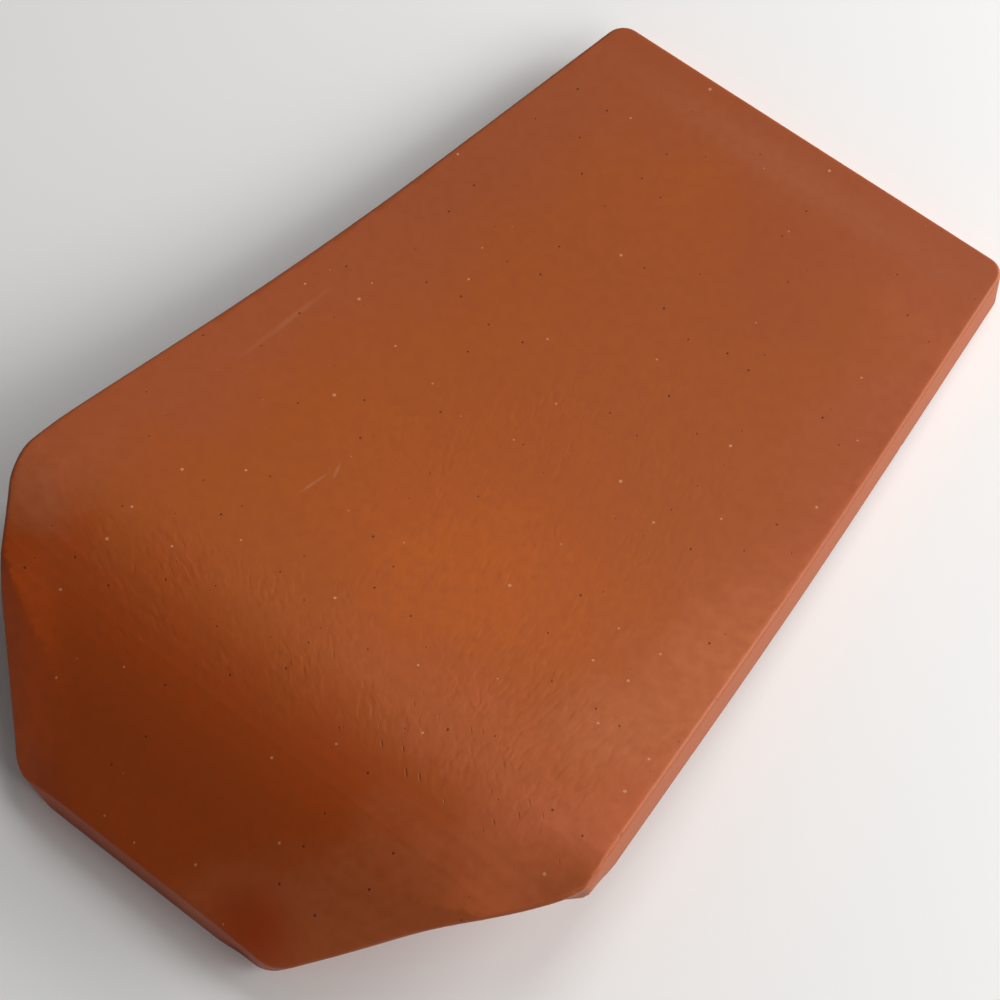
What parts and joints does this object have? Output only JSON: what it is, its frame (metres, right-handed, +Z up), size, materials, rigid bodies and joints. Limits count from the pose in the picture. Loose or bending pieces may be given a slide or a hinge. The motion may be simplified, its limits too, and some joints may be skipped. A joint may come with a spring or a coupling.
{
  "type": "under-ridge tile",
  "caption": "Pressed terracotta closure tile: tapering plate whose nose bends down into a narrowing flange that fills the gap between cover tiles under a ridge.",
  "frame": {"origin": "middle of the bounding box's bottom face, on the floor that the tile lies on", "axes": "+Z up as the tile lies, outer side up; +Y from the flange towards the tail, along the tile's middle line; +X to the right seen from the flange side, the tile being the same left and right"},
  "size_m": [0.198, 0.2868, 0.037],
  "materials": {
    "terracotta": "unglazed natural red terracotta, pressed, dull satin"
  },
  "bodies": {
    "root": {"under_ridge_tile": "terracotta"}
  },
  "joints": []
}
